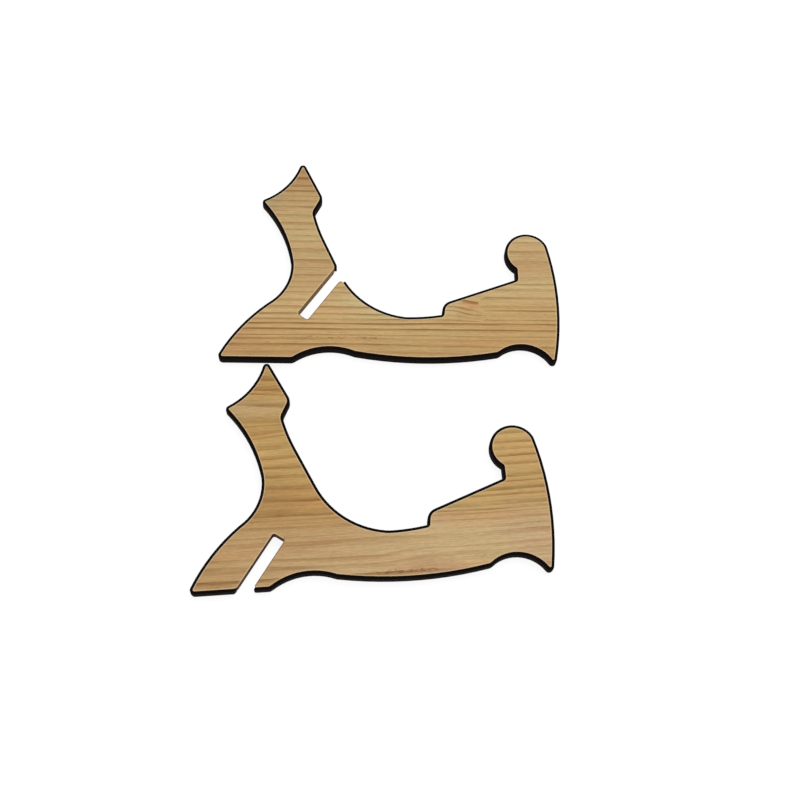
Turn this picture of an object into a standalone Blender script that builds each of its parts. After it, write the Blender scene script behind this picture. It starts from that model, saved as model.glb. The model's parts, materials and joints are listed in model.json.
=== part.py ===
"""Knock-down ukulele stand: two alike wooden boards that cross in half-lap slots.

The stand lies taken apart, both boards flat, the lower board's tip by the upper board's foot.
Every size is in metres, and +Z is up from the surface that the boards lie on.
A board is drawn in its own plane, with x along its base line and y up its back.
"""

from cmath import exp, phase, rect
from math import acos, atan, ceil, cos, pi, radians, sin, sqrt

import bmesh
import bpy

# Board build-up
BOARD_THICKNESS = 0.0090
VENEER_THICKNESS = 0.0009
GLUE_GAP = 0.0003
STRIP_THICKNESS = 0.0019
STRIP_FACE_SETBACK = 0.0001
STRIP_EDGE_ROUNDING = 0.0005
EDGE_BREAK = 0.0005

# Foot, arches and toe, along the base line: the belly fills what the foot and the arches leave
BOARD_LENGTH = 0.2773
FOOT_LENGTH = 0.0592
FOOT_BACK_RADIUS = 0.0014
FOOT_FRONT_RADIUS = 0.0035
BACK_ARCH_LENGTH = 0.0523
FRONT_ARCH_LENGTH = 0.0467
BELLY_BACK_HEIGHT = 0.0063
BELLY_FRONT_HEIGHT = 0.0071
BELLY_CORNER_RADIUS = 0.0042
BELLY_SAG = 0.0054
BACK_ARCH_RISE = 0.0069
FRONT_ARCH_RISE = 0.0114
TOE_RADIUS = 0.0010
TOE_POINT_DROP = 0.0012

# Back edge: out of the foot, into the waist and out to the back of the head
BACK_TURN_X = 0.0390
BACK_TURN_HEIGHT = 0.0483
BACK_TURN_RADIUS = 0.0200
BACK_BULGE = 0.0033
WAIST_X = 0.0583
WAIST_HEIGHT = 0.0905
LOWER_WAIST_HOLLOW = 0.0065
UPPER_WAIST_HOLLOW = 0.0045

# Head: a point at the back, a tip at the top and a nose that leans on the ukulele
HEAD_BACK_X = 0.0316
HEAD_BACK_HEIGHT = 0.1493
HEAD_BACK_RADIUS = 0.0010
HEAD_HOLLOW = 0.0054
TIP_X = 0.0641
TIP_HEIGHT = 0.1870
TIP_RADIUS = 0.0009
NOSE_X = 0.0803
NOSE_HEIGHT = 0.1535
NOSE_RADIUS = 0.0055
NOTCH_X = 0.0731
NOTCH_HEIGHT = 0.1395
NOTCH_RADIUS = 0.0100
NECK_HOLLOW = 0.0008
NECK_X = 0.0824
NECK_HEIGHT = 0.1108

# Cradle, step and seat
CRADLE_TOP_X = 0.0973
CRADLE_TOP_HEIGHT = 0.0776
CRADLE_HOLLOW = 0.0094
CRADLE_LOW_X = 0.1540
CRADLE_LOW_HEIGHT = 0.0364
CRADLE_LOW_RADIUS = 0.0300
CRADLE_FLOOR_HOLLOW = 0.0008
STEP_X = 0.1863
STEP_FOOT_HEIGHT = 0.0393
STEP_FOOT_RADIUS = 0.0032
STEP_LEAN = 0.0014
STEP_RISE = 0.0111
STEP_TOP_RADIUS = 0.0075
SEAT_END_SETBACK = 0.0266
SEAT_END_HEIGHT = 0.0742
SEAT_END_RADIUS = 0.0034

# Knob at the seat's end, which holds the ukulele's front, and the flank below it
KNOB_RADIUS = 0.0170
KNOB_FORWARD = 0.0088
KNOB_RISE = 0.0275
KNOB_NECK_RADIUS = 0.0030
FLANK_START = radians(24)
FLANK_START_RADIUS = 0.0100
FLANK_BULGE = 0.0061

# The strip leaves the slot bare, and wraps this share of the rounding of the lip where it ends. The
# lower board's strip also starts this share back round its first lip, pared down to clear the slot
STRIP_END_WRAP = 0.35
LOWER_STRIP_START_WRAP = 0.50

# Half-lap slots: the boards cross at a right angle, along a line that tilts this much when set up
CROSSING_TILT = radians(45)
SLOT_CLEARANCE = 0.0016
SLOT_END_CLEARANCE = 0.0021
SLOT_END_RADIUS = 0.0020
SLOT_BASE_X = 0.0405
LAP_LENGTH = 0.0471
UPPER_NECK_LIP_RADIUS = 0.0050
UPPER_CRADLE_LIP_RADIUS = 0.0024
LOWER_BACK_LIP_RADIUS = 0.0045
LOWER_FRONT_LIP_RADIUS = 0.0012

# How the lower board lies beside the upper one
LOWER_TURN = radians(4.2)
LOWER_SIDESTEP = -0.0117
TIP_GAP = 0.0040

# How far the flats of a faceted arc may stand off the true arc, and what counts as a sharp edge
CHORD_ERROR = 0.00005
SHARP_ANGLE = radians(30)

# Finishes
WOOD_FACE = {"Base Color": (0.49, 0.32, 0.14, 1.0), "Roughness": 0.55, "Metallic": 0.0}
WOOD_CORE = {"Base Color": (0.20, 0.11, 0.05, 1.0), "Roughness": 0.70, "Metallic": 0.0}
BLACK_STRIP = {"Base Color": (0.012, 0.012, 0.013, 1.0), "Roughness": 0.60, "Metallic": 0.0}


class Edge:
    """One stretch of an outline, travelled clockwise, so that the wood lies on its right.

    Points of the board's plane are complex numbers. The bow is how far the stretch stands off its
    chord: zero is a straight line, and a positive bow bulges to the left, out of the wood.
    """

    def __init__(self, start, end, bow=0.0):
        self.start = start
        self.end = end
        self.along = (end - start) / abs(end - start)
        self.centre = None
        self.radius = 0.0
        self.half_turn = 0.0
        if bow:
            half = abs(end - start) / 2
            self.radius = (half ** 2 + bow ** 2) / (2 * bow)
            self.centre = (start + end) / 2 + 1j * self.along * (bow - self.radius)
            self.half_turn = 2 * atan(bow / half)

    def start_heading(self):
        return self.along * exp(1j * self.half_turn)

    def end_heading(self):
        return self.along * exp(-1j * self.half_turn)

    def nearest(self, point):
        """The point of this edge's whole line or circle that is nearest to another point."""
        if self.centre is None:
            reach = ((point - self.start) * self.along.conjugate()).real
            return self.start + self.along * reach
        spoke = point - self.centre
        return self.centre + spoke / abs(spoke) * abs(self.radius)

    def bow_between(self, start, end):
        """The bow of a shorter stretch of this edge."""
        if self.centre is None:
            return 0.0
        half = abs(end - start) / 2
        bow = abs(self.radius) - sqrt(self.radius ** 2 - half ** 2)
        return bow if self.radius > 0 else -bow

    def trace(self, start, end):
        """Points along this edge from start, which is left out, to end."""
        if self.centre is None:
            return [end]
        return arc_points(self.centre, start, end, clockwise=self.radius > 0)


def arc_points(centre, start, end, clockwise):
    """Points of an arc, near enough together for the chord error, without its start."""
    sweep = phase((end - centre) / (start - centre))
    if clockwise and sweep > 0:
        sweep -= 2 * pi
    if not clockwise and sweep < 0:
        sweep += 2 * pi
    finest_turn = 2 * acos(1 - CHORD_ERROR / abs(start - centre))
    count = max(1, ceil(abs(sweep) / finest_turn))
    return [centre + (start - centre) * exp(1j * sweep * step / count) for step in range(1, count + 1)]


def crossings(first, second, shift=0.0):
    """Where the lines or circles of two edges cross, both shifted to the left of their travel."""
    if first.centre is None and second.centre is not None:
        return crossings(second, first, shift)
    if first.centre is None:
        across = (first.along.conjugate() * second.along).imag
        apart = second.start + 1j * second.along * shift - first.start - 1j * first.along * shift
        reach = (apart.conjugate() * second.along).imag / across
        return [first.start + 1j * first.along * shift + first.along * reach]
    first_radius = abs(first.radius + shift)
    if second.centre is None:
        origin = second.start + 1j * second.along * shift
        away = (first.centre - origin) * second.along.conjugate()
        half = sqrt(first_radius ** 2 - away.imag ** 2)
        return [origin + second.along * (away.real + side * half) for side in (-1, 1)]
    second_radius = abs(second.radius + shift)
    between = second.centre - first.centre
    distance = abs(between)
    reach = (distance ** 2 + first_radius ** 2 - second_radius ** 2) / (2 * distance)
    half = sqrt(first_radius ** 2 - reach ** 2)
    return [first.centre + between / distance * complex(reach, side * half) for side in (-1, 1)]


def nearest_crossing(first, second, near, shift=0.0):
    return min(crossings(first, second, shift), key=lambda spot: abs(spot - near))


def round_corner(before, after, radius, share=1.0):
    """Points of the arc that rounds the corner between two edges, or of the first share of it."""
    corner = before.end
    if not radius:
        return [corner]
    outward_corner = (before.end_heading().conjugate() * after.start_heading()).imag < 0
    shift = -radius if outward_corner else radius
    centre = nearest_crossing(before, after, corner, shift)
    start = before.nearest(centre)
    turn = phase((after.nearest(centre) - centre) / (start - centre))
    end = centre + (start - centre) * exp(1j * turn * share)
    return [start] + arc_points(centre, start, end, clockwise=outward_corner)


def trace_outline(corners):
    """Points of each rounded corner, and of the edge that follows it, for a closed outline.

    A corner is its point, the bow of the edge that follows and the radius that rounds it.
    """
    count = len(corners)
    edges = []
    for index, (point, bow, _) in enumerate(corners):
        edges.append(Edge(point, corners[(index + 1) % count][0], bow))
    rounded = [round_corner(edges[index - 1], edges[index], corners[index][2]) for index in range(count)]
    stretches = []
    for index, edge in enumerate(edges):
        next_corner = rounded[(index + 1) % count]
        stretches.append((rounded[index], edge.trace(rounded[index][-1], next_corner[0])[:-1]))
    return stretches


def board_corners():
    """The outline that both boards share, clockwise from the back corner of the foot."""
    step_top = complex(STEP_X + STEP_LEAN, STEP_FOOT_HEIGHT + STEP_RISE)
    seat_end = complex(BOARD_LENGTH - SEAT_END_SETBACK, SEAT_END_HEIGHT)
    knob_centre = seat_end + complex(KNOB_FORWARD, KNOB_RISE)
    knob_neck = complex(seat_end.real, knob_centre.imag - sqrt(KNOB_RADIUS ** 2 - KNOB_FORWARD ** 2))
    flank_start = knob_centre + rect(KNOB_RADIUS, FLANK_START)
    knob_sweep = phase((knob_neck - knob_centre) / (flank_start - knob_centre)) % (2 * pi)
    knob_bow = KNOB_RADIUS * (1 - cos(knob_sweep / 2))
    belly_front = complex(BOARD_LENGTH - FRONT_ARCH_LENGTH, BELLY_FRONT_HEIGHT)
    belly_back = complex(FOOT_LENGTH + BACK_ARCH_LENGTH, BELLY_BACK_HEIGHT)
    return {
        "foot_back": (0j, BACK_BULGE, FOOT_BACK_RADIUS),
        "back_turn": (complex(BACK_TURN_X, BACK_TURN_HEIGHT), -LOWER_WAIST_HOLLOW, BACK_TURN_RADIUS),
        "waist": (complex(WAIST_X, WAIST_HEIGHT), -UPPER_WAIST_HOLLOW, 0.0),
        "head_back": (complex(HEAD_BACK_X, HEAD_BACK_HEIGHT), -HEAD_HOLLOW, HEAD_BACK_RADIUS),
        "tip": (complex(TIP_X, TIP_HEIGHT), 0.0, TIP_RADIUS),
        "nose": (complex(NOSE_X, NOSE_HEIGHT), 0.0, NOSE_RADIUS),
        "notch": (complex(NOTCH_X, NOTCH_HEIGHT), -NECK_HOLLOW, NOTCH_RADIUS),
        "neck": (complex(NECK_X, NECK_HEIGHT), 0.0, 0.0),
        "cradle_top": (complex(CRADLE_TOP_X, CRADLE_TOP_HEIGHT), -CRADLE_HOLLOW, 0.0),
        "cradle_low": (complex(CRADLE_LOW_X, CRADLE_LOW_HEIGHT), -CRADLE_FLOOR_HOLLOW, CRADLE_LOW_RADIUS),
        "step_foot": (complex(STEP_X, STEP_FOOT_HEIGHT), 0.0, STEP_FOOT_RADIUS),
        "step_top": (step_top, 0.0, STEP_TOP_RADIUS),
        "seat_end": (seat_end, 0.0, SEAT_END_RADIUS),
        "knob_neck": (knob_neck, knob_bow, KNOB_NECK_RADIUS),
        "flank_start": (flank_start, FLANK_BULGE, FLANK_START_RADIUS),
        "toe": (complex(BOARD_LENGTH, -TOE_POINT_DROP), -FRONT_ARCH_RISE, TOE_RADIUS),
        "belly_front": (belly_front, BELLY_SAG, BELLY_CORNER_RADIUS),
        "belly_back": (belly_back, -BACK_ARCH_RISE, BELLY_CORNER_RADIUS),
        "foot_front": (complex(FOOT_LENGTH, 0.0), 0.0, FOOT_FRONT_RADIUS),
    }


def slot_line():
    """Start on the base line and direction of the line along which the two boards cross.

    The boards cross squarely, and their base lines both lie level, so the tilt of the crossing
    line fixes the angle at which it crosses each board's base line.
    """
    half_opening = atan(sin(CROSSING_TILT))
    angle = acos(cos(CROSSING_TILT) * cos(half_opening))
    return complex(SLOT_BASE_X, 0.0), rect(1.0, angle)


def slot_walls():
    """The back and the front wall of a slot, as straight edges that run up the slot."""
    base, along = slot_line()
    half_width = 1j * along * (BOARD_THICKNESS + SLOT_CLEARANCE) / 2
    return [Edge(base + side * half_width, base + side * half_width + along) for side in (1, -1)]


def slot_end(distance):
    """The back and front corners of a slot's closed end, so far up the crossing line."""
    along = slot_line()[1]
    return [wall.start + along * distance for wall in slot_walls()]


def upper_corners():
    """The upper board's outline, with its slot open to the cradle, from the slot's front lip."""
    plain = board_corners()
    names = list(plain)
    back_wall, front_wall = slot_walls()
    neck_edge = Edge(plain["neck"][0], plain["cradle_top"][0])
    cradle_edge = Edge(plain["cradle_top"][0], plain["cradle_low"][0], -CRADLE_HOLLOW)
    back_lip = nearest_crossing(neck_edge, back_wall, neck_edge.end)
    front_lip = nearest_crossing(cradle_edge, front_wall, cradle_edge.start)
    lip_bow = cradle_edge.bow_between(front_lip, cradle_edge.end)
    end_back, end_front = slot_end(LAP_LENGTH - SLOT_END_CLEARANCE / 2)
    around = names[names.index("cradle_low"):] + names[:names.index("neck") + 1]
    return [
        (front_lip, lip_bow, UPPER_CRADLE_LIP_RADIUS),
        *[plain[name] for name in around],
        (back_lip, 0.0, UPPER_NECK_LIP_RADIUS),
        (end_back, 0.0, SLOT_END_RADIUS),
        (end_front, 0.0, SLOT_END_RADIUS),
    ]


def lower_corners():
    """The lower board's outline, with its slot open to the foot, from the slot's back lip."""
    plain = board_corners()
    foot_edge = Edge(plain["foot_front"][0], plain["foot_back"][0])
    back_wall, front_wall = slot_walls()
    end_back, end_front = slot_end(LAP_LENGTH + SLOT_END_CLEARANCE / 2)
    return [
        (crossings(foot_edge, back_wall)[0], 0.0, LOWER_BACK_LIP_RADIUS),
        *plain.values(),
        (crossings(foot_edge, front_wall)[0], 0.0, LOWER_FRONT_LIP_RADIUS),
        (end_front, 0.0, SLOT_END_RADIUS),
        (end_back, 0.0, SLOT_END_RADIUS),
    ]


def ways_out(points, closed):
    """The step at each point that moves a run out of the wood by one, with mitred corners."""
    ways = []
    count = len(points)
    for index, point in enumerate(points):
        before = points[index - 1] if closed or index else None
        after = points[(index + 1) % count] if closed or index < count - 1 else None
        headings = [(b - a) / abs(b - a) for a, b in ((before, point), (point, after)) if None not in (a, b)]
        along = sum(headings) / abs(sum(headings))
        mitre = (along.conjugate() * headings[0]).real
        ways.append(1j * along / mitre)
    return ways


def offset_points(points, distance, closed):
    """A run of points moved out of the wood, to the left of travel."""
    return [point + way * distance for point, way in zip(points, ways_out(points, closed))]


def strip_path(corners, start_wrap=0.0):
    """The wood's edge that the strip covers, and the share of its reach that is left at each point.

    It starts so far back round the first lip, where it is pared down, and wraps a share of the last.
    """
    stretches = trace_outline(corners)
    lip = len(corners) - 3
    before = Edge(corners[lip - 1][0], corners[lip][0], corners[lip - 1][1])
    after = Edge(corners[lip][0], corners[lip + 1][0], corners[lip][1])
    first_lip, first_edge = stretches[0]
    steps = len(first_lip) - 1
    wrapped = round(steps * start_wrap)
    path = first_lip[steps - wrapped:] + first_edge
    for corner, edge in stretches[1:lip]:
        path += corner + edge
    path += round_corner(before, after, corners[lip][2], STRIP_END_WRAP)
    pared = [(1 - (wrapped - step) / steps) ** 2 for step in range(wrapped)]
    return path, pared + [1.0] * (len(path) - wrapped)


def make_material(name, finish):
    material = bpy.data.materials.new(name)
    material.use_nodes = True
    shader = material.node_tree.nodes["Principled BSDF"]
    for socket, value in finish.items():
        shader.inputs[socket].default_value = value
    return material


def make_object(name, mesh_maker, finish, hinge, place):
    """An object from a bmesh, with its own material, carried by an empty on a joint's axis."""
    mesh = bpy.data.meshes.new(name)
    mesh_maker.normal_update()
    mesh_maker.to_mesh(mesh)
    mesh_maker.free()
    mesh.materials.append(make_material(name + "_finish", finish))
    mesh.shade_smooth()
    mesh.set_sharp_from_angle(angle=SHARP_ANGLE)
    thing = bpy.data.objects.new(name, mesh)
    bpy.context.collection.objects.link(thing)
    thing.parent = hinge
    thing.location = place
    return thing


def add_ring(maker, points, height):
    return [maker.verts.new((point.real, point.imag, height)) for point in points]


def join_rings(maker, lower, upper, closed=True):
    """Outward faces between two rings of a clockwise outline, the lower one first."""
    count = len(lower)
    for index in range(count if closed else count - 1):
        after = (index + 1) % count
        maker.faces.new((lower[after], lower[index], upper[index], upper[after]))


def make_sheet(outline, bottom, top, bottom_break=0.0, top_break=0.0):
    """A flat sheet of an outline, whose lower and upper edges may be broken."""
    maker = bmesh.new()
    rings = []
    if bottom_break:
        rings.append(add_ring(maker, offset_points(outline, -bottom_break, closed=True), bottom))
    rings.append(add_ring(maker, outline, bottom + bottom_break))
    rings.append(add_ring(maker, outline, top - top_break))
    if top_break:
        rings.append(add_ring(maker, offset_points(outline, -top_break, closed=True), top))
    for lower, upper in zip(rings, rings[1:]):
        join_rings(maker, lower, upper)
    maker.faces.new(rings[0])
    maker.faces.new(rings[-1][::-1])
    return maker


def strip_profile():
    """Distance from the wood and height of each corner of the edge strip's section."""
    inner = GLUE_GAP
    outer = GLUE_GAP + STRIP_THICKNESS
    round_in = outer - STRIP_EDGE_ROUNDING
    bottom = STRIP_FACE_SETBACK
    top = BOARD_THICKNESS - STRIP_FACE_SETBACK
    return [
        (inner, bottom),
        (round_in, bottom),
        (outer, bottom + STRIP_EDGE_ROUNDING),
        (outer, top - STRIP_EDGE_ROUNDING),
        (round_in, top),
        (inner, top),
    ]


def make_strip(run, shares):
    """The strip glued round the board's edge, from one lip of the slot to the other."""
    maker = bmesh.new()
    ways = ways_out(run, closed=False)
    lines = []
    for distance, height in strip_profile():
        reaches = [max(GLUE_GAP, distance * share) for share in shares]
        line = [point + way * reach for point, way, reach in zip(run, ways, reaches)]
        lines.append(add_ring(maker, line, height))
    for line, following in zip(lines, lines[1:] + lines[:1]):
        join_rings(maker, line, following, closed=False)
    maker.faces.new([line[0] for line in lines][::-1])
    maker.faces.new([line[-1] for line in lines])
    return maker


def make_board(name, corners, start_wrap, hinge, place):
    """One board: a core between two face veneers, and the strip round its outer edge."""
    outline = [point for corner, edge in trace_outline(corners) for point in corner + edge]
    core_bottom = VENEER_THICKNESS + GLUE_GAP
    core_top = BOARD_THICKNESS - VENEER_THICKNESS - GLUE_GAP
    veneer_base = BOARD_THICKNESS - VENEER_THICKNESS
    bottom = make_sheet(outline, 0.0, VENEER_THICKNESS, bottom_break=EDGE_BREAK)
    top = make_sheet(outline, veneer_base, BOARD_THICKNESS, top_break=EDGE_BREAK)
    make_object(name + "_bottom_veneer", bottom, WOOD_FACE, hinge, place)
    make_object(name + "_core", make_sheet(outline, core_bottom, core_top), WOOD_CORE, hinge, place)
    make_object(name + "_top_veneer", top, WOOD_FACE, hinge, place)
    strip = make_strip(*strip_path(corners, start_wrap))
    make_object(name + "_edge_strip", strip, BLACK_STRIP, hinge, place)


def make_empty(name, place, turn=0.0):
    empty = bpy.data.objects.new(name, None)
    bpy.context.collection.objects.link(empty)
    empty.location = (place.real, place.imag, 0.0)
    empty.rotation_euler.z = turn
    return empty


def middle_of(points):
    across = [point.real for point in points]
    up = [point.imag for point in points]
    return complex(min(across) + max(across), min(up) + max(up)) / 2


def main():
    for thing in list(bpy.data.objects):
        bpy.data.objects.remove(thing, do_unlink=True)
    strip_reach = GLUE_GAP + STRIP_THICKNESS
    turn = rect(1.0, LOWER_TURN)
    upper_rim = offset_points(strip_path(upper_corners())[0], strip_reach, closed=False)
    lower_rim = offset_points(strip_path(lower_corners())[0], strip_reach, closed=False)
    lower_rim = [point * turn for point in lower_rim]
    lower_top = max(point.imag for point in lower_rim)
    lower_foot = complex(LOWER_SIDESTEP, -strip_reach - TIP_GAP - lower_top)

    # The origin is on the floor, in the middle of the box round both boards
    origin = middle_of(upper_rim + [point + lower_foot for point in lower_rim])
    upper = make_empty("upper_board", -origin)
    make_board("upper_board", upper_corners(), 0.0, upper, (0.0, 0.0, 0.0))

    # The lower board tips up on the outside of its own base line
    base_line = lower_foot - 1j * strip_reach * turn
    lower = make_empty("lower_board_base_line", base_line - origin, LOWER_TURN)
    make_board("lower_board", lower_corners(), LOWER_STRIP_START_WRAP, lower, (0.0, strip_reach, 0.0))


main()
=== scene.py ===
"""Looks of the knock-down ukulele stand: wood faces, plies, soft edge strips, floor, light and camera.

Everything is in metres in the part's own frame. Grain is laid out in millimetres along and up each
board, because that is how a board is read.
"""

import json
from math import atan2, cos, pi, radians, sin, tan

import bmesh
import bpy
from mathutils import Matrix, Vector


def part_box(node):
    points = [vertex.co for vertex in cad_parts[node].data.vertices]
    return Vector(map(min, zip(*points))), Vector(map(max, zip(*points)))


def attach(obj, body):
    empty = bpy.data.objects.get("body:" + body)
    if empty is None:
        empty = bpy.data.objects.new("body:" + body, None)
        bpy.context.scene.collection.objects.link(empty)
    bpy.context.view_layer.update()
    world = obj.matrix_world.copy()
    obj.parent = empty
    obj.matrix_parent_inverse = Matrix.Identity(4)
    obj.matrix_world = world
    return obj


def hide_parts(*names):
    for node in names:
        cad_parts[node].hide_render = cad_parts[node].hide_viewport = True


# Camera: where it stands, how far it tips up from straight down, and how it is turned and rolled
CAMERA_PLACE = (-0.03540, -0.43374, 0.94775)
CAMERA_TIP = radians(23.61)
CAMERA_HEADING = radians(-6.0)
CAMERA_ROLL = radians(6.18)
CAMERA_LENS_MM = 57.27

# Studio
FLOOR_SIZE = 60.0
FLOOR_COLOUR = (0.18, 0.18, 0.18, 1.0)
FLOOR_GLOW = 0.86
FLOOR_ROUGHNESS = 0.9
SKY_STRENGTH = 0.62
KEY_PLACE = (0.55, 0.75, 1.55)
KEY_SIZE = 1.5
KEY_POWER = 17.0
FILL_PLACE = (-1.1, -0.9, 1.1)
FILL_SIZE = 1.2
FILL_POWER = 5.0

# Meshes: corners nearer than this are one, faces this near to the top lie in it, a length beyond every
# size here, and the angle from which an edge is drawn sharp
SAME_PLACE = 1e-6
LEVEL = 1e-5
FAR = 1.0
SHARP_FROM = radians(40)

# Plies that fill the core, from the bottom up: how far each one's edge lies back, how wide its corners
# are broken, and how far its noise is shifted from the last one's
PLY_RELIEF = (0.00006, 0.00002, 0.00010, 0.00003, 0.00007)
PLY_EDGE = 0.00004
PLY_SEED_STEP = 2.7

# Faces: how their edges are rounded, how far in the rim's painted highlight and shade reach, how much of
# a tight corner's radius it may take, and the marks on the mesh that the shader reads
FACE_ROUNDING = 0.0005
FACE_ROUNDING_STEPS = 4
RIM_WIDTH = 0.0011
CORNER_ROOM = 0.92
RIM_MARK = "rim"
SHADED_RIM_MARK = "shaded_rim"

# Soft strip: its rounded section, in the space of the CAD strip. That strip stands off the wood by
# the glue's gap, and a point nearer to its inner line than the covered reach is under it
STRIP_REACH = 0.0022
GLUE_GAP = 0.0003
COVERED_REACH = 0.0006
STRIP_INNER_GAP = 0.00004
STRIP_THICKNESS = 0.00216
STRIP_BOTTOM = 0.0001
STRIP_TOP = 0.0089
STRIP_ROUNDING = 0.00055
STRIP_ROUNDING_STEPS = 4
STRIP_CROWN = 0.00006

# Colours, linear
WHITE = (1.0, 1.0, 1.0, 1.0)
EARLY_WOOD = (0.507, 0.352, 0.156, 1.0)
LATE_WOOD = (0.262, 0.139, 0.040, 1.0)
RUDDY_TINT = (1.05, 0.86, 0.86, 1.0)
DARK_TONE = (0.84, 0.72, 0.62, 1.0)
PALE_TONE = (1.10, 1.18, 1.22, 1.0)
FLECK_COLOUR = (0.160, 0.058, 0.024, 1.0)
# Pale rim of the faces: a painted highlight on the rounded edge
PAINTED_RIM_HIGHLIGHT = (0.660, 0.520, 0.340, 1.0)
# Dark rim on slot edges turned one way in the scene: painted shade
PAINTED_RIM_SHADE = (0.130, 0.102, 0.052, 1.0)
CHAR = (0.012, 0.006, 0.003, 1.0)
STRIP_BLACK = (0.0045, 0.0024, 0.0016, 1.0)
STRIP_WORN = (0.0068, 0.0050, 0.0044, 1.0)

# Cut walls of the slots: the veneers' wall, the plies along the slot and across it, how much darker
# they are at the bottom, partly char and partly painted shade deep in the slot, and how strongly they are
# charred
UPPER_WALL = {
    "veneer": (0.250, 0.140, 0.062, 1.0),
    "long": (0.340, 0.195, 0.088),
    "cross": (0.250, 0.143, 0.064),
    "low_shade": 0.62,
    "char": 0.35,
}
LOWER_WALL = {
    "veneer": (0.150, 0.080, 0.032, 1.0),
    "long": (0.170, 0.082, 0.030),
    "cross": (0.060, 0.026, 0.009),
    "low_shade": 1.0,
    "char": 0.60,
}

# How far the rim of a face is painted pale with a highlight, and painted dark with shade where the slot's
# edge is turned the shaded way, and where its wall is scorched, in millimetres from the middle of the sheet's
# thickness
RIM_HIGHLIGHT_SHARE = 0.62
RIM_SHADE_SHARE = 0.75
SHEET_MIDDLE = 4.5
SCORCHED_FROM = 4.43
SCORCHED_SOFT = 0.12
SHADED_WAY = Vector((-1.0, 1.0))

# Places along a board, in millimetres: its middle, its neck, where the front's own rings take over,
# where its front tones take over, and where its foot's tint ends
BOARD_MIDDLE = 140
NECK = (33, 97)
FRONT_RINGS_FROM = (140, 185)
FRONT_TONES_FROM = (70, 220)
FOOT_TINT_TO = (8, 52)

# Noise drawn out along a board: length and width of its spots in millimetres, detail and roughness
FADING_NOISE = (60, 7, 2.0, 0.5)
STREAK_NOISE = (90, 1.2, 2.5, 0.6)
RUDDY_NOISE = (120, 10, 2.0, 0.5)
FLECK_NOISE = (4.5, 0.7, 1.0, 0.5)
LONG_FIBRES = (32, 0.6, 3.0, 0.6)
SHORT_FIBRES = (6, 0.7, 2.0, 0.7)

# Other noise: spots for each millimetre on the cut plies, and for each metre on the strip
PLY_GRAIN_SCALE = (1 / 2.2, 1 / 2.2, 1 / 0.35)
PLY_BURN_SCALE = (1 / 7.0, 1 / 7.0, 1 / 14.0)
SCUFF_SCALE = (260, 260, 900)
PEBBLE_SCALE = (2600, 2600, 2600)

# Where noise begins to show and where it shows fully
RUDDY_FROM = (0.46, 0.72)
FLECK_FROM = (0.72, 0.80)
BURNT_FROM = (0.48, 0.74)
WORN_FROM = (0.50, 0.72)

# Two levels of noise, and the two values that it gives there
FADING = (0.25, 0.65, 0.40, 1.15)
LONG_FIBRE_SHADE = (0.20, 0.80, 0.81, 1.17)
SHORT_FIBRE_SHADE = (0.20, 0.80, 0.86, 1.13)
PLY_GRAIN_SHARE = (0.35, 0.70, 0.0, 0.45)
FACE_ROUGHNESS = (0.3, 0.7, 0.54, 0.66)
STRIP_ROUGHNESS = (0.3, 0.7, 0.62, 0.78)

# Sheen, and relief too fine to model: its depth in metres and its strength. The dark parts of the
# rings lie this much deeper than the fibres do
PLY_ROUGHNESS = 0.78
FACE_SHEEN = 0.20
PLY_SHEEN = 0.04
STRIP_SHEEN = 0.02
FACE_BUMP = (0.00005, 0.5)
PLY_BUMP = (0.00006, 0.7)
PEBBLE_BUMP = (0.00004, 0.20)
RING_DEPTH = 0.5

# Dark part of a ring, as shares of the ring: where it is full and where it ends, how its climb is
# bent, and its peak
LATE_FULL = 0.92
LATE_CLIMB = 1.5
LATE_END = (0.93, 1.0)
LATE_PEAK = 1.2

# Soft borders of the patches, along and up the board in millimetres
CALM_SOFT = (15.0, 3.0)
FLECK_SOFT = (12.0, 1.0)

# Where the rings dip beside a knot they break off within this many millimetres, between soft borders,
# along a line that noise makes ragged: its spots for each millimetre, its reach, and how much the rings
# fade there
DIP_END = 3.5
DIP_SOFT = 4.0
DIP_RAGS = (0.10, 0.30, 0.30)
DIP_RAG_REACH = 14.0
TORN_FADING = 0.80

# How far the rounded corner of the foot stands short of the sharp corner that the grain is laid out from
FOOT_TRIM = 0.0009

# Growth rings: how far up the board each one ends, in millimetres, and how dark it is. A level that
# none of them reaches stands for rings that are all drawn the same way up
BEYOND_ALL_RINGS = 1000
UPPER_BACK_RINGS = (
    (-12.0, 0.3), (-1.0, 0.3), (6.2, 0.4), (13.0, 0.7), (18.4, 0.5), (21.2, 0.65), (27.4, 1.0), (32.6, 1.0),
    (36.6, 0.6), (41.6, 0.6), (48.8, 0.65), (55.6, 0.6), (62.6, 0.5), (67.4, 0.45), (73.0, 0.5),
    (79.5, 0.35), (86.0, 0.2), (93.4, 0.5), (104.0, 0.5), (111.8, 0.45), (117.2, 0.3), (123.0, 0.5),
    (129.6, 0.45), (137.4, 0.5), (146.2, 0.45), (152.2, 0.55), (156.4, 0.3), (162.4, 0.7), (168.0, 0.3),
    (176.0, 0.75), (183.0, 0.6), (200.0, 0.5),
)
UPPER_FRONT_RINGS = (
    (-12.0, 0.3), (-1.0, 0.3), (6.2, 0.3), (12.6, 0.5), (18.4, 0.3), (21.6, 0.5), (28.0, 0.85), (33.8, 0.95),
    (37.3, 0.5), (42.4, 0.25), (46.4, 0.9), (50.6, 0.4), (58.8, 0.55), (66.6, 0.45), (71.8, 0.5),
    (79.0, 0.25), (85.0, 0.2), (94.2, 0.5), (104.4, 0.5), (113.1, 0.3), (118.0, 0.3), (130.0, 0.3),
)
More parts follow.
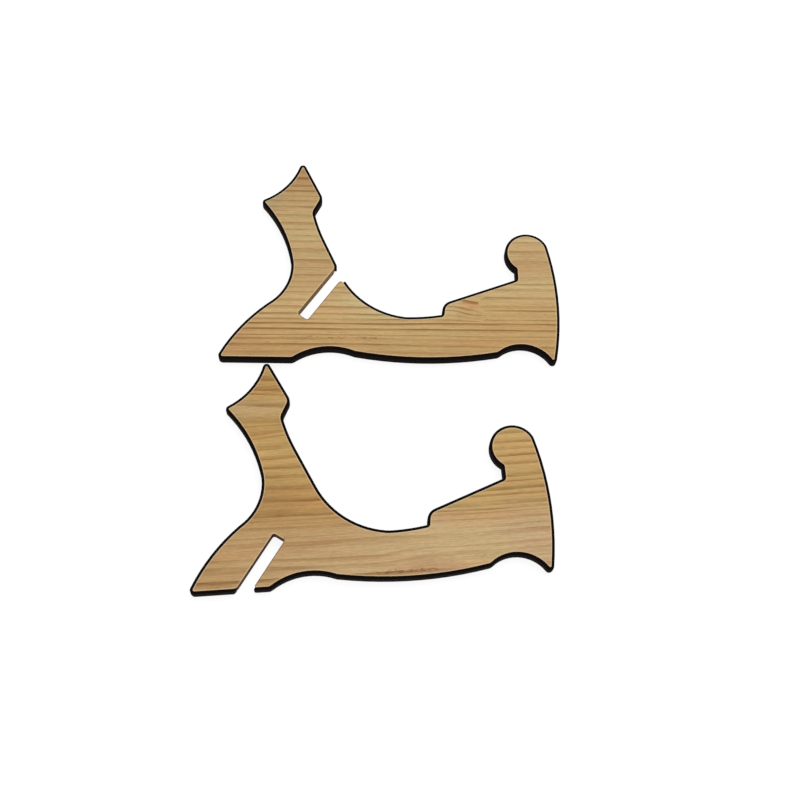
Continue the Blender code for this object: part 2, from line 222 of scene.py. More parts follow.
LOWER_BACK_RINGS = (
    (-12.0, 0.4), (-2.0, 0.4), (5.6, 0.8), (15.0, 0.45), (20.6, 0.5), (34.4, 0.4), (38.4, 0.3), (46.6, 0.35),
    (50.6, 0.4), (53.6, 0.6), (66.2, 0.6), (76.6, 0.4), (87.0, 0.6), (94.4, 0.7), (102.4, 0.45),
    (110.4, 0.6), (121.4, 0.5), (124.8, 0.3), (132.0, 0.4), (134.4, 0.5), (147.4, 0.6), (158.2, 0.8),
    (161.2, 0.5), (170.6, 0.9), (183.0, 0.6), (200.0, 0.5),
)
LOWER_FRONT_RINGS = (
    (-12.0, 0.4), (-2.0, 0.4), (6.1, 0.4), (19.3, 0.35), (23.6, 0.4), (33.9, 0.45), (38.4, 0.2), (44.6, 0.3),
    (50.6, 0.85), (53.8, 0.65), (61.6, 0.5), (66.2, 0.9), (73.0, 0.65), (76.9, 0.8), (87.3, 0.45),
    (94.1, 0.9), (99.6, 0.35), (105.0, 0.5), (112.7, 0.5), (125.0, 0.4),
)

# Grain of each board. Rings and tones are read by height, and fade from the back's to the front's
# along the board. "lean" and "tilts" slope the rings, "wander" bends them, and "dip" sinks them beside
# a knot. A patch or a knot is a middle and two half sizes in millimetres, and a calm or flecked patch
# is two corners. Tones run from 0, dark, to 1, pale
UPPER_GRAIN = {
    "seed": 4.3,
    "back_rings": UPPER_BACK_RINGS,
    "front_rings": UPPER_FRONT_RINGS,
    "turned_above": BEYOND_ALL_RINGS,
    "lean": 0.007,
    "wander": 3.0,
    "wander_scale": (1 / 150, 1 / 50, 1 / 50),
    "late_from": 0.28,
    "streaks": 1.10,
    "back_tones": ((0, 0.25), (10, 0.33), (22, 0.50), (32, 0.70), (50, 0.80), (70, 0.46), (90, 0.37),
                   (110, 0.67), (130, 0.54), (150, 0.33), (172, 0.0)),
    "front_tones": ((0, 0.25), (10, 0.30), (22, 0.45), (32, 0.55), (50, 0.45), (70, 0.85), (90, 0.37),
                    (110, 0.67)),
    "tint_change": (40, 100),
    "foot_tint": (0.95, 0.89, 0.89, 1.0),
    "base_tint": (1.00, 0.99, 0.96, 1.0),
    "head_tint": (0.97, 1.00, 1.04, 1.0),
    "patches": (
        ((150, 50, 66, 20), (1.01, 1.21, 1.38, 1.0)),
        ((12, 152, 45, 22), (0.91, 1.00, 1.18, 1.0)),
        ((60, 60, 80, 55), (0.99, 0.96, 0.97, 1.0)),
        ((55, 20, 100, 24), (1.02, 0.98, 0.945, 1.0)),
        ((255, 22, 70, 36), (1.00, 0.955, 0.92, 1.0)),
        ((264, 88, 34, 18), (0.97, 0.92, 0.91, 1.0)),
    ),
    "ruddiness": 0.5,
    "knot": (207, 51, 13, 8),
    "dip": ((190, 217), (37, 63), 4.6),
    "knot_dark": 0.4,
    "knot_red": 0.9,
    "flecks": 0.85,
    "fleck_crowd": 0.17,
    "fleck_patch": ((45, 17.5), (140, 19.5)),
}
LOWER_GRAIN = {
    "seed": 11.9,
    "back_rings": LOWER_BACK_RINGS,
    "front_rings": LOWER_FRONT_RINGS,
    "turned_above": 48.8,
    "lean": -0.004,
    "tilts": ((0, 0.5), (8, 0.5), (15, 0.31), (24, 0.42), (40, 0.5), (60, 0.45), (88, 0.32), (98, 0.65),
              (112, 0.85), (125, 0.95), (136, 0.5), (150, 0.1), (160, 0.15), (176, 0.3)),
    "tilt_reach": 8.0,
    "wander": 3.5,
    "wander_scale": (1 / 90, 1 / 40, 1 / 40),
    "late_from": 0.20,
    "calm_patch": ((105, 8), (205, 40)),
    "calm": 0.12,
    "streaks": 0.85,
    "back_tones": ((0, 0.20), (10, 0.28), (30, 0.33), (50, 0.12), (70, 0.14), (90, 0.30), (110, 0.52),
                   (130, 0.15), (150, 0.56), (158, 0.12), (172, 0.10)),
    "front_tones": ((0, 0.60), (10, 0.72), (30, 0.75), (50, 0.50), (70, 0.50), (90, 0.62), (110, 0.58)),
    "tint_change": (34, 66),
    "foot_tint": (0.98, 0.94, 0.88, 1.0),
    "base_tint": (1.02, 1.02, 1.13, 1.0),
    "head_tint": (1.01, 0.97, 0.81, 1.0),
    "patches": (
        ((34, 148, 60, 13), (0.96, 1.00, 1.28, 1.0)),
        ((60, 72, 34, 24), (0.89, 0.88, 0.89, 1.0)),
        ((172, 50, 60, 16), (0.99, 1.02, 1.12, 1.0)),
        ((106, 4, 52, 16), (1.07, 1.11, 1.18, 1.0)),
        ((186, 4, 34, 15), (0.91, 0.84, 0.85, 1.0)),
        ((266, 48, 34, 66), (0.97, 0.945, 0.99, 1.0)),
    ),
    "ruddiness": 0.6,
    "knot": (260, 98, 30, 20),
    "knot_dark": 0.0,
    "knot_red": 0.25,
    "flecks": 0.80,
    "fleck_crowd": 0.26,
    "fleck_patch": ((140, 3.6), (192, 6.6)),
}


class Graph:
    """The shader nodes of one material. Each call adds a node and gives back its output."""

    def __init__(self, name):
        self.material = bpy.data.materials.new(name)
        self.material.use_nodes = True
        self.tree = self.material.node_tree
        self.shader = self.tree.nodes["Principled BSDF"]

    def put(self, socket, value):
        if isinstance(value, bpy.types.NodeSocket):
            self.tree.links.new(value, socket)
        else:
            socket.default_value = value

    def add(self, kind, inputs, output=0, **settings):
        node = self.tree.nodes.new("ShaderNode" + kind)
        for name, value in settings.items():
            setattr(node, name, value)
        for key, value in inputs.items():
            self.put(node.inputs[key], value)
        return node.outputs[output]

    def math(self, operation, *values):
        return self.add("Math", dict(enumerate(values)), operation=operation)

    def product(self, first, *others):
        for other in others:
            first = self.math("MULTIPLY", first, other)
        return first

    def scaled(self, vector, scale, shift=(0.0, 0.0, 0.0)):
        return self.add("VectorMath", {0: vector, 1: scale, 2: shift}, operation="MULTIPLY_ADD")

    def noise(self, vector, detail=2.0, roughness=0.5):
        inputs = {"Vector": vector, "Scale": 1.0, "Detail": detail, "Roughness": roughness}
        return self.add("TexNoise", inputs)

    def long_noise(self, spot, kind, shift):
        """Noise drawn out along the board, of one of the kinds listed above."""
        length, width, detail, roughness = kind
        stretched = self.scaled(spot, (1 / length, 1 / width, 1 / width), shift)
        return self.noise(stretched, detail, roughness)

    def ramp(self, value, low, high, to_low=0.0, to_high=1.0):
        inputs = {"Value": value, "From Min": low, "From Max": high, "To Min": to_low, "To Max": to_high}
        return self.add("MapRange", inputs, interpolation_type="SMOOTHSTEP")

    def climb(self, value, low, high, reach):
        """A straight climb from minus reach at low to reach at high, and level beyond."""
        inputs = {"Value": value, "From Min": low, "From Max": high, "To Min": -reach, "To Max": reach}
        return self.add("MapRange", inputs)

    def window(self, value, low, high, soft):
        """One between low and high, and nothing outside them, with soft ends."""
        start = self.ramp(value, low - soft, low + soft)
        return self.product(start, self.ramp(value, high + soft, high - soft))

    def patch(self, along, up, corners, soft):
        """One in a rectangle between two corners, and nothing outside it, with soft borders."""
        (left, bottom), (right, top) = corners
        across = self.window(along, left, right, soft[0])
        return self.product(across, self.window(up, bottom, top, soft[1]))

    def hump(self, along, up, place):
        """One at the middle of an oval, falling softly to nothing at its rim."""
        centre_x, centre_y, half_length, half_height = place
        across = self.math("DIVIDE", self.math("SUBTRACT", along, centre_x), half_length)
        rise = self.math("DIVIDE", self.math("SUBTRACT", up, centre_y), half_height)
        square = self.math("MULTIPLY_ADD", across, across, self.math("MULTIPLY", rise, rise))
        return self.ramp(square, 1.0, 0.0)

    def curve(self, value, points):
        """A value between 0 and 1, drawn in straight lines through (place, value) points."""
        low, high = points[0][0], points[-1][0]
        node = self.tree.nodes.new("ShaderNodeFloatCurve")
        line = node.mapping.curves[0]
        line.points[0].location = (0.0, points[0][1])
        line.points[1].location = (1.0, points[-1][1])
        for place, result in points[1:-1]:
            line.points.new((place - low) / (high - low), result)
        for point in line.points:
            point.handle_type = "VECTOR"
        node.mapping.update()
        inputs = {"Value": value, "From Min": low, "From Max": high}
        self.put(node.inputs["Value"], self.add("MapRange", inputs))
        return node.outputs[0]

    def blend(self, share, first, second):
        inputs = {0: share, 2: first, 3: second}
        return self.add("Mix", inputs, data_type="FLOAT")

    def mix(self, share, first, second, blend="MIX"):
        inputs = {0: share, 6: first, 7: second}
        return self.add("Mix", inputs, output=2, data_type="RGBA", blend_type=blend)

    def tinted(self, colour, tint, share=1.0):
        return self.mix(share, colour, tint, "MULTIPLY")

    def grey(self, value):
        return self.add("CombineColor", {0: value, 1: value, 2: value})

    def split(self, vector):
        node = self.tree.nodes.new("ShaderNodeSeparateXYZ")
        self.put(node.inputs[0], vector)
        return node.outputs

    def mark(self, name):
        """A number that a mesh carries at its corners under this name."""
        return self.add("Attribute", {}, output=2, attribute_name=name)

    def bump(self, height, distance, strength):
        inputs = {"Height": height, "Distance": distance, "Strength": strength}
        return self.add("Bump", inputs)

    def finish(self, **sockets):
        for name, value in sockets.items():
            self.put(self.shader.inputs[name.replace("_", " ")], value)
        return self.material


def board_millimetres(graph, corner, turn):
    """Millimetres along a board's base line, up its face and through it, from a corner of its foot."""
    back = Matrix.Rotation(-turn, 3, "Z")
    shift = -(back @ Vector(corner)) * 1000
    place = graph.add("TexCoord", {}, output=3)
    inputs = {"Vector": place, "Location": shift, "Rotation": (0, 0, -turn), "Scale": (1000, 1000, 1000)}
    return graph.add("Mapping", inputs, vector_type="POINT")


def ring_level(graph, spot, front, grain):
    """The height that a spot has among the growth rings: its own, with lean, tilt, wander and dip."""
    along, up, _ = graph.split(spot)
    seed = grain["seed"]
    slope = graph.math("MULTIPLY_ADD", along, -grain["lean"], grain["lean"] * BOARD_MIDDLE)
    if "tilts" in grain:
        tilt = graph.math("SUBTRACT", 0.5, graph.curve(up, grain["tilts"]))
        slope = graph.math("MULTIPLY_ADD", tilt, graph.climb(along, *NECK, grain["tilt_reach"]), slope)
    slope = graph.product(slope, graph.math("SUBTRACT", 1.0, front))
    wander = graph.noise(graph.scaled(spot, grain["wander_scale"], (seed, seed, 0)), detail=1.5)
    swerve = graph.math("MULTIPLY_ADD", wander, grain["wander"], -grain["wander"] / 2)
    level = graph.math("ADD", graph.math("ADD", up, slope), swerve)
    if "dip" not in grain:
        return level
    (start, end), (low, high), depth = grain["dip"]
    inside = graph.window(up, low, high, DIP_SOFT)
    sink = graph.product(graph.ramp(along, start, end), dip_end(graph, spot, along, end), inside)
    return graph.math("MULTIPLY_ADD", sink, depth, level)


def dip_end(graph, spot, along, end):
    """One before the ragged end of a dip in the rings, and nothing a little beyond it."""
    rags = graph.math("SUBTRACT", graph.noise(graph.scaled(spot, DIP_RAGS), detail=1.0), 0.5)
    place = graph.math("MULTIPLY_ADD", rags, DIP_RAG_REACH, along)
    return graph.ramp(place, end + DIP_END, end)


def torn_rings(graph, spot, along, up, dip):
    """One where the rings break off at the end of a dip, and nothing elsewhere."""
    (_, end), (low, high), _ = dip
    fall = dip_end(graph, spot, along, end)
    # The product of a share and its rest is a quarter at most, so four times it peaks at one
    broken = graph.product(4.0, fall, graph.math("SUBTRACT", 1.0, fall))
    return graph.product(graph.math("SQRT", broken), graph.window(up, low, high, DIP_SOFT))


def read_rings(graph, level, rings):
    """How many rings lie below a level, and how dark the ring there is."""
    last = len(rings) - 1
    count = graph.curve(level, [(height, number / last) for number, (height, _) in enumerate(rings)])
    return graph.math("MULTIPLY", count, last), graph.curve(level, rings)


def late_wood(graph, spot, level, front, knot, grain):
    """The dark part of each ring, which fades in and out along its length.

    It darkens slowly up the board and ends sharply, and the other way round above one height.
    """
    along, up, _ = graph.split(spot)
    seed = grain["seed"]
    back_count, back_weight = read_rings(graph, level, grain["back_rings"])
    front_count, front_weight = read_rings(graph, level, grain["front_rings"])
    count = graph.blend(front, back_count, front_count)
    weight = graph.blend(front, back_weight, front_weight)
    share = graph.math("FRACT", count)
    turned = graph.math("GREATER_THAN", level, grain["turned_above"])
    share = graph.blend(turned, share, graph.math("SUBTRACT", 1.0, share))
    late = graph.math("POWER", graph.ramp(share, grain["late_from"], LATE_FULL), LATE_CLIMB)
    late = graph.product(late, graph.ramp(share, *LATE_END, LATE_PEAK, 0.0))
    fading = graph.long_noise(spot, FADING_NOISE, (0, seed, seed))
    late = graph.product(late, graph.ramp(fading, *FADING))
    if "calm" in grain:
        calm = graph.patch(along, up, grain["calm_patch"], CALM_SOFT)
        weight = graph.math("MULTIPLY_ADD", calm, -grain["calm"], weight)
    weight = graph.math("MULTIPLY_ADD", knot, grain["knot_dark"], weight)
    if "dip" in grain:
        torn = torn_rings(graph, spot, along, up, grain["dip"])
        weight = graph.product(weight, graph.math("MULTIPLY_ADD", torn, -TORN_FADING, 1.0))
    streak = graph.long_noise(spot, STREAK_NOISE, (seed, 5, 0))
    streak = graph.product(graph.math("SUBTRACT", streak, 0.5), grain["streaks"])
    return graph.math("MULTIPLY_ADD", late, weight, streak)


def broad_tones(graph, colour, spot, level, knot, grain):
    """Tones that change up the board and from its back to its front, soft patches and ruddy bands."""
    along, up, _ = graph.split(spot)
    seed = grain["seed"]
    back_tone = graph.curve(level, grain["back_tones"])
    front_tone = graph.curve(level, grain["front_tones"])
    tone = graph.blend(graph.ramp(along, *FRONT_TONES_FROM), back_tone, front_tone)
    colour = graph.tinted(colour, graph.mix(tone, DARK_TONE, PALE_TONE))
    height = graph.ramp(level, *grain["tint_change"])
    colour = graph.tinted(colour, graph.mix(height, grain["base_tint"], grain["head_tint"]))
    colour = graph.tinted(colour, graph.mix(graph.ramp(along, *FOOT_TINT_TO), grain["foot_tint"], WHITE))
    for place, tint in grain["patches"]:
        colour = graph.tinted(colour, tint, graph.hump(along, up, place))
    ruddy = graph.long_noise(spot, RUDDY_NOISE, (seed, 3, 0))
    ruddy = graph.ramp(ruddy, *RUDDY_FROM, 0.0, grain["ruddiness"])
    ruddy = graph.math("MAXIMUM", ruddy, graph.product(knot, grain["knot_red"]))
    return graph.tinted(colour, RUDDY_TINT, ruddy)


def dark_flecks(graph, spot, grain):
    """Short dark flecks, which crowd together in one patch."""
    along, up, _ = graph.split(spot)
    inside = graph.patch(along, up, grain["fleck_patch"], FLECK_SOFT)
    fleck = graph.long_noise(spot, FLECK_NOISE, (0, grain["seed"], 7))
    fleck = graph.math("MULTIPLY_ADD", inside, grain["fleck_crowd"], fleck)
    return graph.ramp(fleck, *FLECK_FROM, 0.0, grain["flecks"])


def cut_rim(graph, colour, spot, wall_colour):
    """The edge's painted highlight, painted shade on slot edges turned one way, and the scorched wall below
    it.
    """
    shaded_rim = graph.mark(SHADED_RIM_MARK)
    # Painted highlight on the rim, and painted shade on it where the slot edge is turned the shaded way
    edge = graph.mix(shaded_rim, PAINTED_RIM_HIGHLIGHT, PAINTED_RIM_SHADE)
    share = graph.product(graph.mark(RIM_MARK), graph.blend(shaded_rim, RIM_HIGHLIGHT_SHARE, RIM_SHADE_SHARE))
    colour = graph.mix(share, colour, edge)
    through = graph.split(spot)[2]
    reach = graph.math("ABSOLUTE", graph.math("SUBTRACT", through, SHEET_MIDDLE))
    scorched = graph.ramp(reach, SCORCHED_FROM, SCORCHED_FROM - SCORCHED_SOFT)
    return graph.mix(scorched, colour, wall_colour)


def wood_face(name, corner, turn, grain, wall_colour):
    """A sawn face with straight grain: growth rings, broad tones, streaks, fibres and flecks."""
    graph = Graph(name)
    spot = board_millimetres(graph, corner, turn)
    along, up, _ = graph.split(spot)
    front = graph.ramp(along, *FRONT_RINGS_FROM)
    knot = graph.hump(along, up, grain["knot"])
    level = ring_level(graph, spot, front, grain)
    late = late_wood(graph, spot, level, front, knot, grain)
    colour = graph.mix(late, EARLY_WOOD, LATE_WOOD)
    colour = broad_tones(graph, colour, spot, level, knot, grain)

    fibre = graph.long_noise(spot, LONG_FIBRES, (grain["seed"], 0, 0))
    short = graph.long_noise(spot, SHORT_FIBRES, (grain["seed"], 9, 0))
    shade = graph.product(graph.ramp(fibre, *LONG_FIBRE_SHADE), graph.ramp(short, *SHORT_FIBRE_SHADE))
    colour = graph.tinted(colour, graph.grey(shade))
    colour = graph.mix(dark_flecks(graph, spot, grain), colour, FLECK_COLOUR)
    colour = cut_rim(graph, colour, spot, wall_colour)

    roughness = graph.ramp(fibre, *FACE_ROUGHNESS)
    relief = graph.math("MULTIPLY_ADD", late, -RING_DEPTH, fibre)
    normal = graph.bump(relief, *FACE_BUMP)
    return graph.finish(Base_Color=colour, Roughness=roughness, Normal=normal, Specular_IOR_Level=FACE_SHEEN)


def ply_edge(name, corner, turn, colour, wall, seed):
    """The cut edge of one ply: brown from the laser, with burnt streaks down the wall."""
    graph = Graph(name)
    spot = board_millimetres(graph, corner, turn)
    grain = graph.noise(graph.scaled(spot, PLY_GRAIN_SCALE, (seed, 0, seed)), detail=3.0)
    burn = graph.noise(graph.scaled(spot, PLY_BURN_SCALE, (0, seed, 0)))
    shade = graph.mix(graph.ramp(grain, *PLY_GRAIN_SHARE), colour, (*wall["cross"], 1.0))
    shade = graph.mix(graph.ramp(burn, *BURNT_FROM, 0.0, wall["char"]), shade, CHAR)
    normal = graph.bump(grain, *PLY_BUMP)
    return graph.finish(Base_Color=shade, Roughness=PLY_ROUGHNESS, Normal=normal,
                        Specular_IOR_Level=PLY_SHEEN)


def soft_strip():
    """Black soft strip: faint scuffs along its rounded edges and a fine pebbled skin."""
    graph = Graph("soft_strip")
    place = graph.add("TexCoord", {}, output=3)
    scuffs = graph.noise(graph.scaled(place, SCUFF_SCALE), detail=4.0, roughness=0.6)
    colour = graph.mix(graph.ramp(scuffs, *WORN_FROM), STRIP_BLACK, STRIP_WORN)
    cells = {"Vector": graph.scaled(place, PEBBLE_SCALE), "Scale": 1.0}
    pebbles = graph.add("TexVoronoi", cells, feature="SMOOTH_F1")
    normal = graph.bump(pebbles, *PEBBLE_BUMP)
    roughness = graph.ramp(scuffs, *STRIP_ROUGHNESS)
    return graph.finish(Base_Color=colour, Roughness=roughness, Normal=normal, Specular_IOR_Level=STRIP_SHEEN)


def face_loop(node):
    """The corners round a CAD node's top face, in order, anticlockwise, as (x, y) vectors."""
    maker = bmesh.new()
    maker.from_mesh(frame["nodes"][node].data)
    bmesh.ops.remove_doubles(maker, verts=maker.verts, dist=SAME_PLACE)
    top = max(vert.co.z for vert in maker.verts)
    faces = [face for face in maker.faces if all(vert.co.z > top - LEVEL for vert in face.verts)]
    inside = set(faces)
    rim = {}
    for face in faces:
        for loop in face.loops:
            if not any(other in inside and other is not face for other in loop.edge.link_faces):
                rim[loop.vert] = loop.link_loop_next.vert
    start = next(iter(rim))
    corners = [start]
    while rim[corners[-1]] is not start:
        corners.append(rim[corners[-1]])
    points = [vert.co.xy.copy() for vert in corners]
    maker.free()
    return points


def ways_out(points, closed=True):
    """At each point of an anticlockwise run, the step that moves it out by one with mitred corners."""
    count = len(points)
    steps = []
    for index, point in enumerate(points):
        ways = []
        if closed or index:
            ways.append((point - points[index - 1]).normalized())
        if closed or index < count - 1:
            ways.append((points[(index + 1) % count] - point).normalized())
        along = sum(ways, Vector((0, 0))).normalized()
        steps.append(Vector((along.y, -along.x)) / along.dot(ways[0]))
    return steps


def moved_out(points, distance):
    """A closed outline moved out by the same distance all round."""
    return [point + step * distance for point, step in zip(points, ways_out(points))]


def bend_radius(points, index):
    """How tightly a closed anticlockwise outline bends outward at a point."""
    before = points[index] - points[index - 1]
    after = points[(index + 1) % len(points)] - points[index]
    turn = atan2(before.x * after.y - before.y * after.x, before.dot(after))
    return min(before.length, after.length) / (2 * tan(turn / 2)) if turn > 0 else FAR


def moved_in(outline, distance):
    """An outline moved in, by less where a tight corner leaves no room."""
    count = len(outline)
    radii = [bend_radius(outline, index) for index in range(count)]
    moved = []
    for index, (point, step) in enumerate(zip(outline, ways_out(outline))):
        room = min(radii[index - 1], radii[index], radii[(index + 1) % count]) * CORNER_ROOM
        moved.append(point - step * min(distance, room))
    return moved


def distance_to(point, line, closed=True):
    """How far a point lies from a line of points."""
    best = FAR
    for index, end in enumerate(line):
        if index or closed:
            start = line[index - 1]
            side = end - start
            share = max(0.0, min(1.0, (point - start).dot(side) / side.length_squared))
            best = min(best, (point - start - side * share).length)
    return best


def new_piece(name, maker, material, body, replaced=()):
    """A visible piece that rides on a body, and that may stand in for CAD nodes."""
    mesh = bpy.data.meshes.new(name)
    maker.normal_update()
    maker.to_mesh(mesh)
    maker.free()
    mesh.materials.append(material)
    mesh.shade_smooth()
    mesh.set_sharp_from_angle(angle=SHARP_FROM)
    piece = bpy.data.objects.new(name, mesh)
    bpy.context.scene.collection.objects.link(piece)
    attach(piece, body)
    if replaced:
        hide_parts(*replaced)


def ring_of(maker, points, height):
    """New mesh corners over the points, all at one height."""
    return [maker.verts.new((point.x, point.y, height)) for point in points]


def bridge(maker, lower, upper, closed=True):
    """Faces between two rings of corners."""
    count = len(lower)
    for index in range(count if closed else count - 1):
        after = (index + 1) % count
        maker.faces.new((lower[index], lower[after], upper[after], upper[index]))


def make_plies(board, outline, corner, turn, wall):
    """The plies between the two face veneers, each a slab whose edge stands at its own depth."""
    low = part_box(board + "_bottom_veneer")[1].z
    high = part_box(board + "_top_veneer")[0].z
    count = len(PLY_RELIEF)
    height = (high - low) / count
    for number, relief in enumerate(PLY_RELIEF, start=1):
        bottom = low + height * (number - 1)
        face = moved_out(outline, -relief)
        maker = bmesh.new()
        rings = [
            ring_of(maker, moved_out(face, -PLY_EDGE), bottom),
            ring_of(maker, face, bottom + PLY_EDGE),
            ring_of(maker, face, bottom + height - PLY_EDGE),
            ring_of(maker, moved_out(face, -PLY_EDGE), bottom + height),
        ]
        for lower, upper in zip(rings, rings[1:]):
            bridge(maker, lower, upper)
        maker.faces.new(rings[0][::-1])
        maker.faces.new(rings[-1])
        # Lower plies darkened: partly char, partly painted shade deep in the slot
        shade = wall["low_shade"] + (1 - wall["low_shade"]) * number / count
        colour = [channel * shade for channel in wall["cross" if number % 2 else "long"]]
        seed = PLY_SEED_STEP * number
        material = ply_edge(f"{board}_ply_{number}_edge", corner, turn, (*colour, 1.0), wall, seed)
        replaced = (board + "_core",) if number == 1 else ()
        new_piece(f"{board}_ply_{number}", maker, material, board, replaced)


def veneer_section(thickness):
    """Distance inside the outline, height and rim share round a veneer's edge, from the glue up."""
    points = [(0.0, 0.0, 1.0), (0.0, thickness - FACE_ROUNDING, 1.0)]
    for step in range(1, FACE_ROUNDING_STEPS + 1):
        angle = pi / 2 * step / FACE_ROUNDING_STEPS
        points.append((FACE_ROUNDING * (1 - cos(angle)), thickness - FACE_ROUNDING * (1 - sin(angle)), 1.0))
    points.append((RIM_WIDTH, thickness, 0.0))
    return points


def shaded_rim_points(outline, covered):
    """One at the points of the bare slot edge turned the shaded way, whose rim gets painted shade, and
    nothing at the others.
    """
    marks = []
    for point, way in zip(outline, ways_out(outline)):
        bare = distance_to(point, covered, closed=False) > COVERED_REACH
        marks.append(float(bare and way.dot(SHADED_WAY) > 0))
    return marks


def make_veneer(board, side, outline, shaded_rim, material):
    """A face veneer with a softly rounded edge, whose rim is marked for the shader."""
    node = f"{board}_{side}_veneer"
    low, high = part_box(node)
    base, way = (low.z, 1) if side == "top" else (high.z, -1)
    maker = bmesh.new()
    rim = maker.verts.layers.float.new(RIM_MARK)
    rim_shade_layer = maker.verts.layers.float.new(SHADED_RIM_MARK)
    rings = []
    for inset, height, share in veneer_section(high.z - low.z):
        ring = ring_of(maker, moved_in(outline, inset), base + way * height)
        for vert, mark in zip(ring, shaded_rim):
            vert[rim] = share
            vert[rim_shade_layer] = mark
        rings.append(ring)
    for lower, upper in zip(rings, rings[1:]):
        bridge(maker, lower, upper)
    maker.faces.new(rings[0][::-1])
    maker.faces.new(rings[-1])
    bmesh.ops.recalc_face_normals(maker, faces=maker.faces)
    new_piece(node + "_sanded", maker, material, board, (node,))


def strip_section():
    """Distance from the wood and height round the strip's section, with a crowned outer face."""
    inner = STRIP_INNER_GAP
    outer = inner + STRIP_THICKNESS - STRIP_CROWN
    points = [(inner, STRIP_BOTTOM)]
    corners = ((STRIP_BOTTOM + STRIP_ROUNDING, -pi / 2), (STRIP_TOP - STRIP_ROUNDING, 0.0))
    for centre, start in corners:
        for step in range(STRIP_ROUNDING_STEPS + 1):
            angle = start + pi / 2 * step / STRIP_ROUNDING_STEPS
            reach = outer - STRIP_ROUNDING + STRIP_ROUNDING * cos(angle)
            points.append((reach, centre + STRIP_ROUNDING * sin(angle)))
        if centre < STRIP_TOP / 2:
            points.append((outer + STRIP_CROWN, (STRIP_BOTTOM + STRIP_TOP) / 2))
    points.append((inner, STRIP_TOP))
    return points


def strip_run(board, outline):
    """The inner line of a board's strip, anticlockwise, and the share of its reach at each point.

    Half of the corners round the strip's top face are on its inner line, the half nearest to the wood.
    """
    ribbon = face_loop(board + "_edge_strip")
    count = len(ribbon)
    half = count // 2
    gaps = [distance_to(point, outline) for point in ribbon]
    sums = [sum(gaps[(start + step) % count] for step in range(half)) for start in range(count)]
    start = sums.index(min(sums))
    inner = [ribbon[(start + step) % count] for step in range(half)][::-1]
    outer = [ribbon[start - 1 - step] for step in range(half)][::-1]
    depths = [(far - near).dot(way) / way.length_squared
              for near, far, way in zip(inner, outer, ways_out(inner, closed=False))]
    shares = [(GLUE_GAP + depth) / (GLUE_GAP + max(depths)) for depth in depths]
    return inner, shares


def make_strip(board, inner, shares, material):
    """The soft strip round a board's edge, thinner where the CAD strip is pared down."""
    ways = ways_out(inner, closed=False)
    maker = bmesh.new()
    rings = []
    for reach, height in strip_section():
        steps = [max(STRIP_INNER_GAP, reach * share) - GLUE_GAP for share in shares]
        line = [point + way * step for point, way, step in zip(inner, ways, steps)]
        rings.append(ring_of(maker, line, height))
    for first, second in zip(rings, rings[1:] + rings[:1]):
        bridge(maker, first, second, closed=False)
    maker.faces.new([ring[0] for ring in rings])
    maker.faces.new([ring[-1] for ring in rings][::-1])
    bmesh.ops.recalc_face_normals(maker, faces=maker.faces)
    new_piece(board + "_soft_strip", maker, material, board, (board + "_edge_strip",))


def make_floor():
    graph = Graph("floor")
    material = graph.finish(Base_Color=FLOOR_COLOUR, Roughness=FLOOR_ROUGHNESS, Specular_IOR_Level=0.0,
                            Emission_Color=WHITE, Emission_Strength=FLOOR_GLOW)
    maker = bmesh.new()
    bmesh.ops.create_grid(maker, x_segments=1, y_segments=1, size=FLOOR_SIZE / 2)
    mesh = bpy.data.meshes.new("floor")
    maker.to_mesh(mesh)
    maker.free()
    mesh.materials.append(material)
    floor = bpy.data.objects.new("floor", mesh)
    bpy.context.scene.collection.objects.link(floor)


def make_area_light(name, place, size, power):
    light = bpy.data.lights.new(name, "AREA")
    light.shape = "DISK"
    light.size = size
    light.energy = power
    lamp = bpy.data.objects.new(name, light)
    bpy.context.scene.collection.objects.link(lamp)
    lamp.location = place
    lamp.rotation_euler = (-Vector(place)).to_track_quat("-Z", "Y").to_euler()


def make_studio():
    world = bpy.data.worlds.new("studio")
    world.use_nodes = True
    sky = world.node_tree.nodes["Background"]
    sky.inputs["Color"].default_value = WHITE
    sky.inputs["Strength"].default_value = SKY_STRENGTH
    scene = bpy.context.scene
    scene.world = world
    scene.view_settings.view_transform = "Standard"
    make_floor()
    make_area_light("key_light", KEY_PLACE, KEY_SIZE, KEY_POWER)
    make_area_light("fill_light", FILL_PLACE, FILL_SIZE, FILL_POWER)


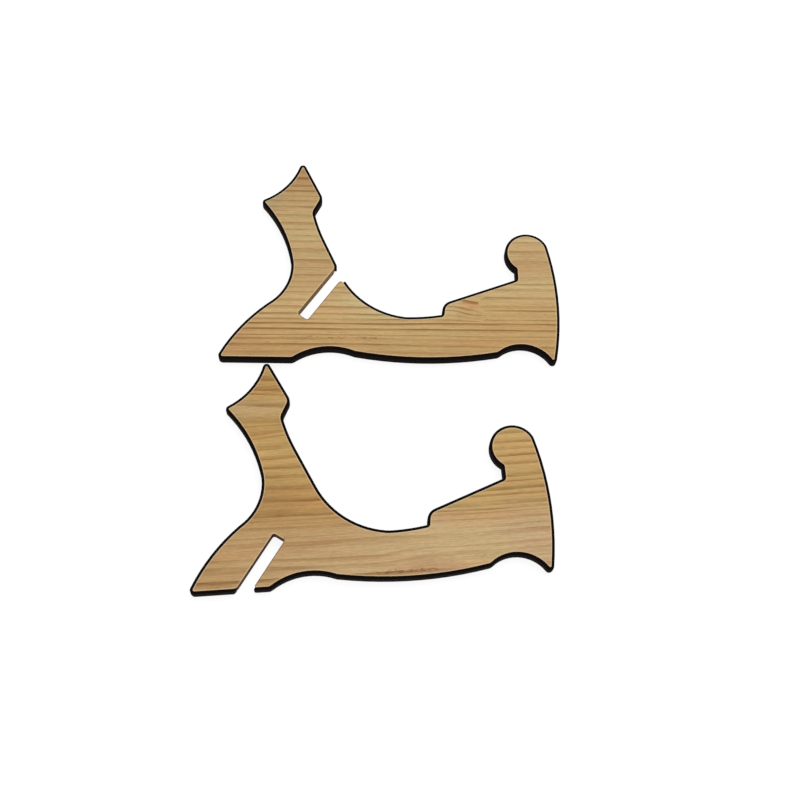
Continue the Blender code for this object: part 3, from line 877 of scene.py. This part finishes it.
def make_camera():
    data = bpy.data.cameras.new("camera")
    data.lens = CAMERA_LENS_MM
    camera = bpy.data.objects.new("camera", data)
    bpy.context.scene.collection.objects.link(camera)
    turned = Matrix.Rotation(CAMERA_HEADING, 4, "Z") @ Matrix.Rotation(CAMERA_TIP, 4, "X")
    camera.matrix_world = Matrix.Translation(CAMERA_PLACE) @ turned @ Matrix.Rotation(CAMERA_ROLL, 4, "Z")
    bpy.context.scene.camera = camera


def dress(board, corner, turn, grains, wall, strip_material):
    """A board's sanded veneers, its plies and its soft strip, in place of the plain solids."""
    outline = face_loop(board + "_core")
    inner, shares = strip_run(board, outline)
    # Bare slot edges turned the shaded way get painted shade on their rim
    shaded_rim = shaded_rim_points(outline, inner)
    for side, grain in grains.items():
        material = wood_face(f"{board}_{side}_wood", corner, turn, grain, wall["veneer"])
        make_veneer(board, side, outline, shaded_rim, material)
    make_plies(board, outline, corner, turn, wall)
    make_strip(board, inner, shares, strip_material)


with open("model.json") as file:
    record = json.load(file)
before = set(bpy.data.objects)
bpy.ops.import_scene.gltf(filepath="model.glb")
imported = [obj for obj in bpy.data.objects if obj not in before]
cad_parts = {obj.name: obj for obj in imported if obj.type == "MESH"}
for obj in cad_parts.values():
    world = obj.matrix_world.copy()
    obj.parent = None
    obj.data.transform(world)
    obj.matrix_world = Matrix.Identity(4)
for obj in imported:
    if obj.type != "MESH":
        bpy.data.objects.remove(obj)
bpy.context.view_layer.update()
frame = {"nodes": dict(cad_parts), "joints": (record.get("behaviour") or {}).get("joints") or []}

# The undersides aren't seen, and repeat the top faces with other noise
upper_grains = {"top": UPPER_GRAIN, "bottom": dict(UPPER_GRAIN, seed=21.7)}
lower_grains = {"top": LOWER_GRAIN, "bottom": dict(LOWER_GRAIN, seed=33.1)}

hinge = frame["joints"][0]
turn = atan2(hinge["axis"][1], hinge["axis"][0])
upper_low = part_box("upper_board_core")[0]
upper_corner = (upper_low.x - FOOT_TRIM, upper_low.y, 0.0)
lower_corner = Vector(hinge["pos_m"]) + Matrix.Rotation(turn, 3, "Z") @ Vector((0.0, STRIP_REACH, 0.0))

make_camera()
make_studio()
strip_material = soft_strip()
dress("upper_board", upper_corner, 0.0, upper_grains, UPPER_WALL, strip_material)
dress("lower_board", lower_corner, turn, lower_grains, LOWER_WALL, strip_material)
